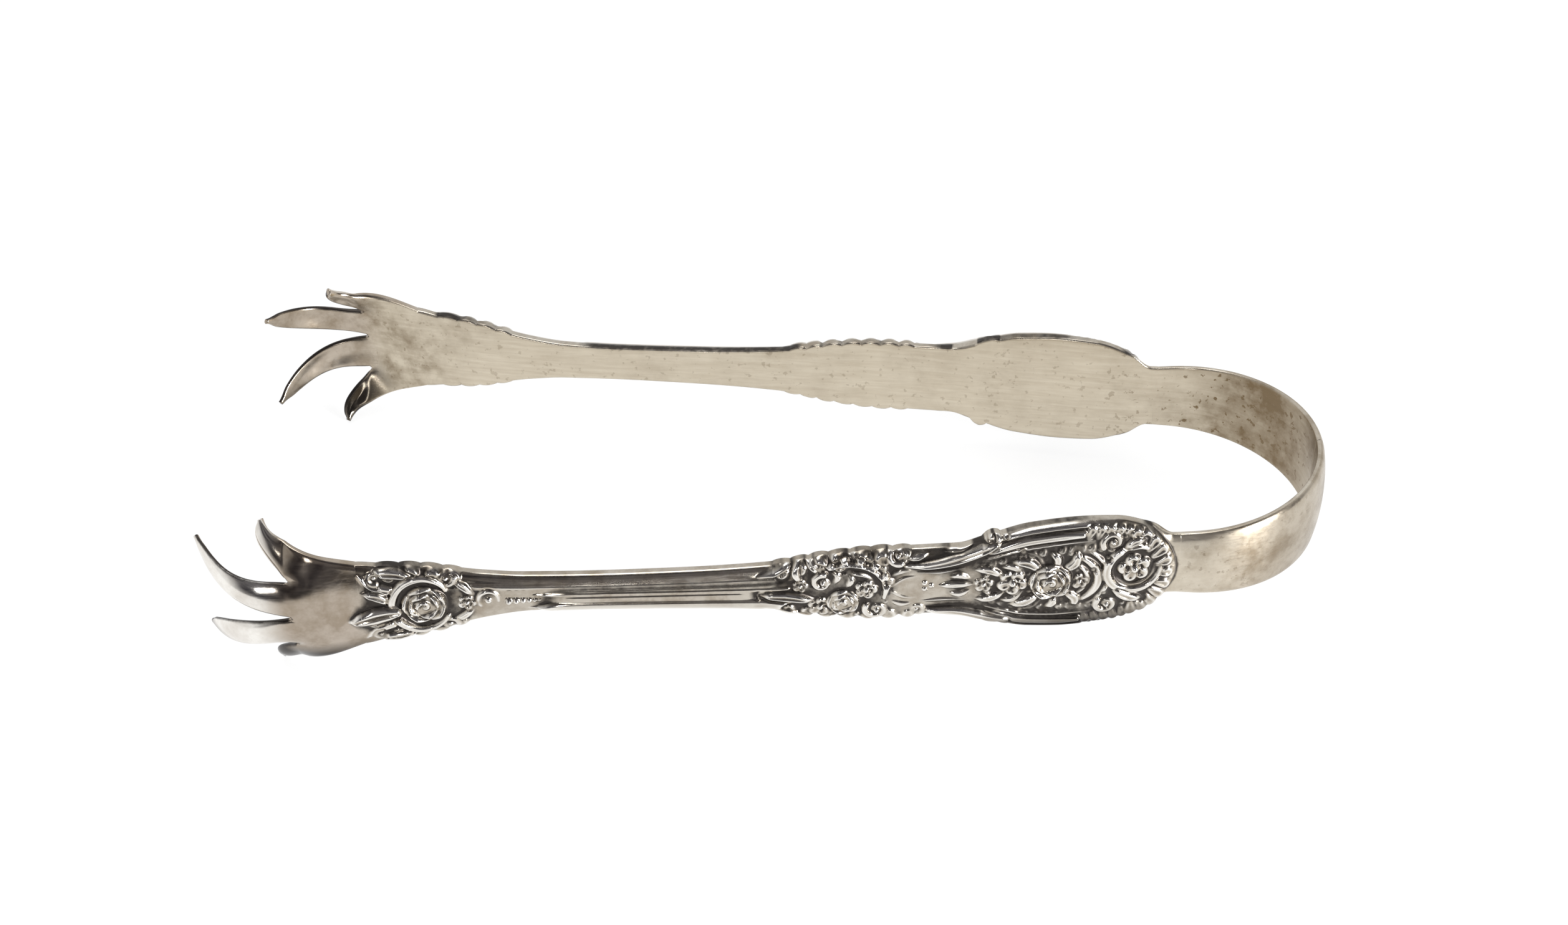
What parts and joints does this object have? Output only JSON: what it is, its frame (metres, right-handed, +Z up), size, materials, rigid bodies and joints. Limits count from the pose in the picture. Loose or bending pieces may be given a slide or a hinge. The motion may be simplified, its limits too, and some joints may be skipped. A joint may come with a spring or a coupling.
{
  "type": "sugar tongs",
  "caption": "Claw-ended silver sugar tongs on their side: a springy U-shaped bow joins relief-decorated arms that are squeezed to close curled talons on a lump of sugar.",
  "frame": {"origin": "middle of the object's footprint, on the surface that the tongs lie on", "axes": "+X from the claws to the crown of the bow, +Y from the front arm to the rear arm, +Z up, across the width of the strip"},
  "size_m": [0.1404, 0.0586, 0.0229],
  "materials": {
    "bow_silver": "polished silver, lightly worn",
    "arm_silver": "struck silver relief with darkened recesses",
    "claw_silver": "bright polished silver"
  },
  "bodies": {
    "bow": {"bow_crown": "bow_silver"},
    "front_side": {"front_bow_shoulder": "bow_silver", "front_arm": "arm_silver", "front_claw": "claw_silver"},
    "rear_side": {"rear_bow_shoulder": "bow_silver", "rear_arm": "arm_silver", "rear_claw": "claw_silver"}
  },
  "joints": [
    {"name": "front_arm_squeeze", "type": "hinge", "parent": "bow", "child": "front_side", "pos_m": [0.06424, -0.01207, 0.01147], "axis": [0, 0, -1], "range_deg": [-2, 9.2], "stiffness_Nm_per_rad": 6},
    {"name": "rear_arm_squeeze", "type": "hinge", "parent": "bow", "child": "rear_side", "pos_m": [0.06424, 0.01207, 0.01147], "axis": [0, 0, 1], "range_deg": [-2, 9.2], "stiffness_Nm_per_rad": 6}
  ],
  "couplings": [
    {"joint": "rear_arm_squeeze", "follows": "front_arm_squeeze", "ratio": 1}
  ]
}
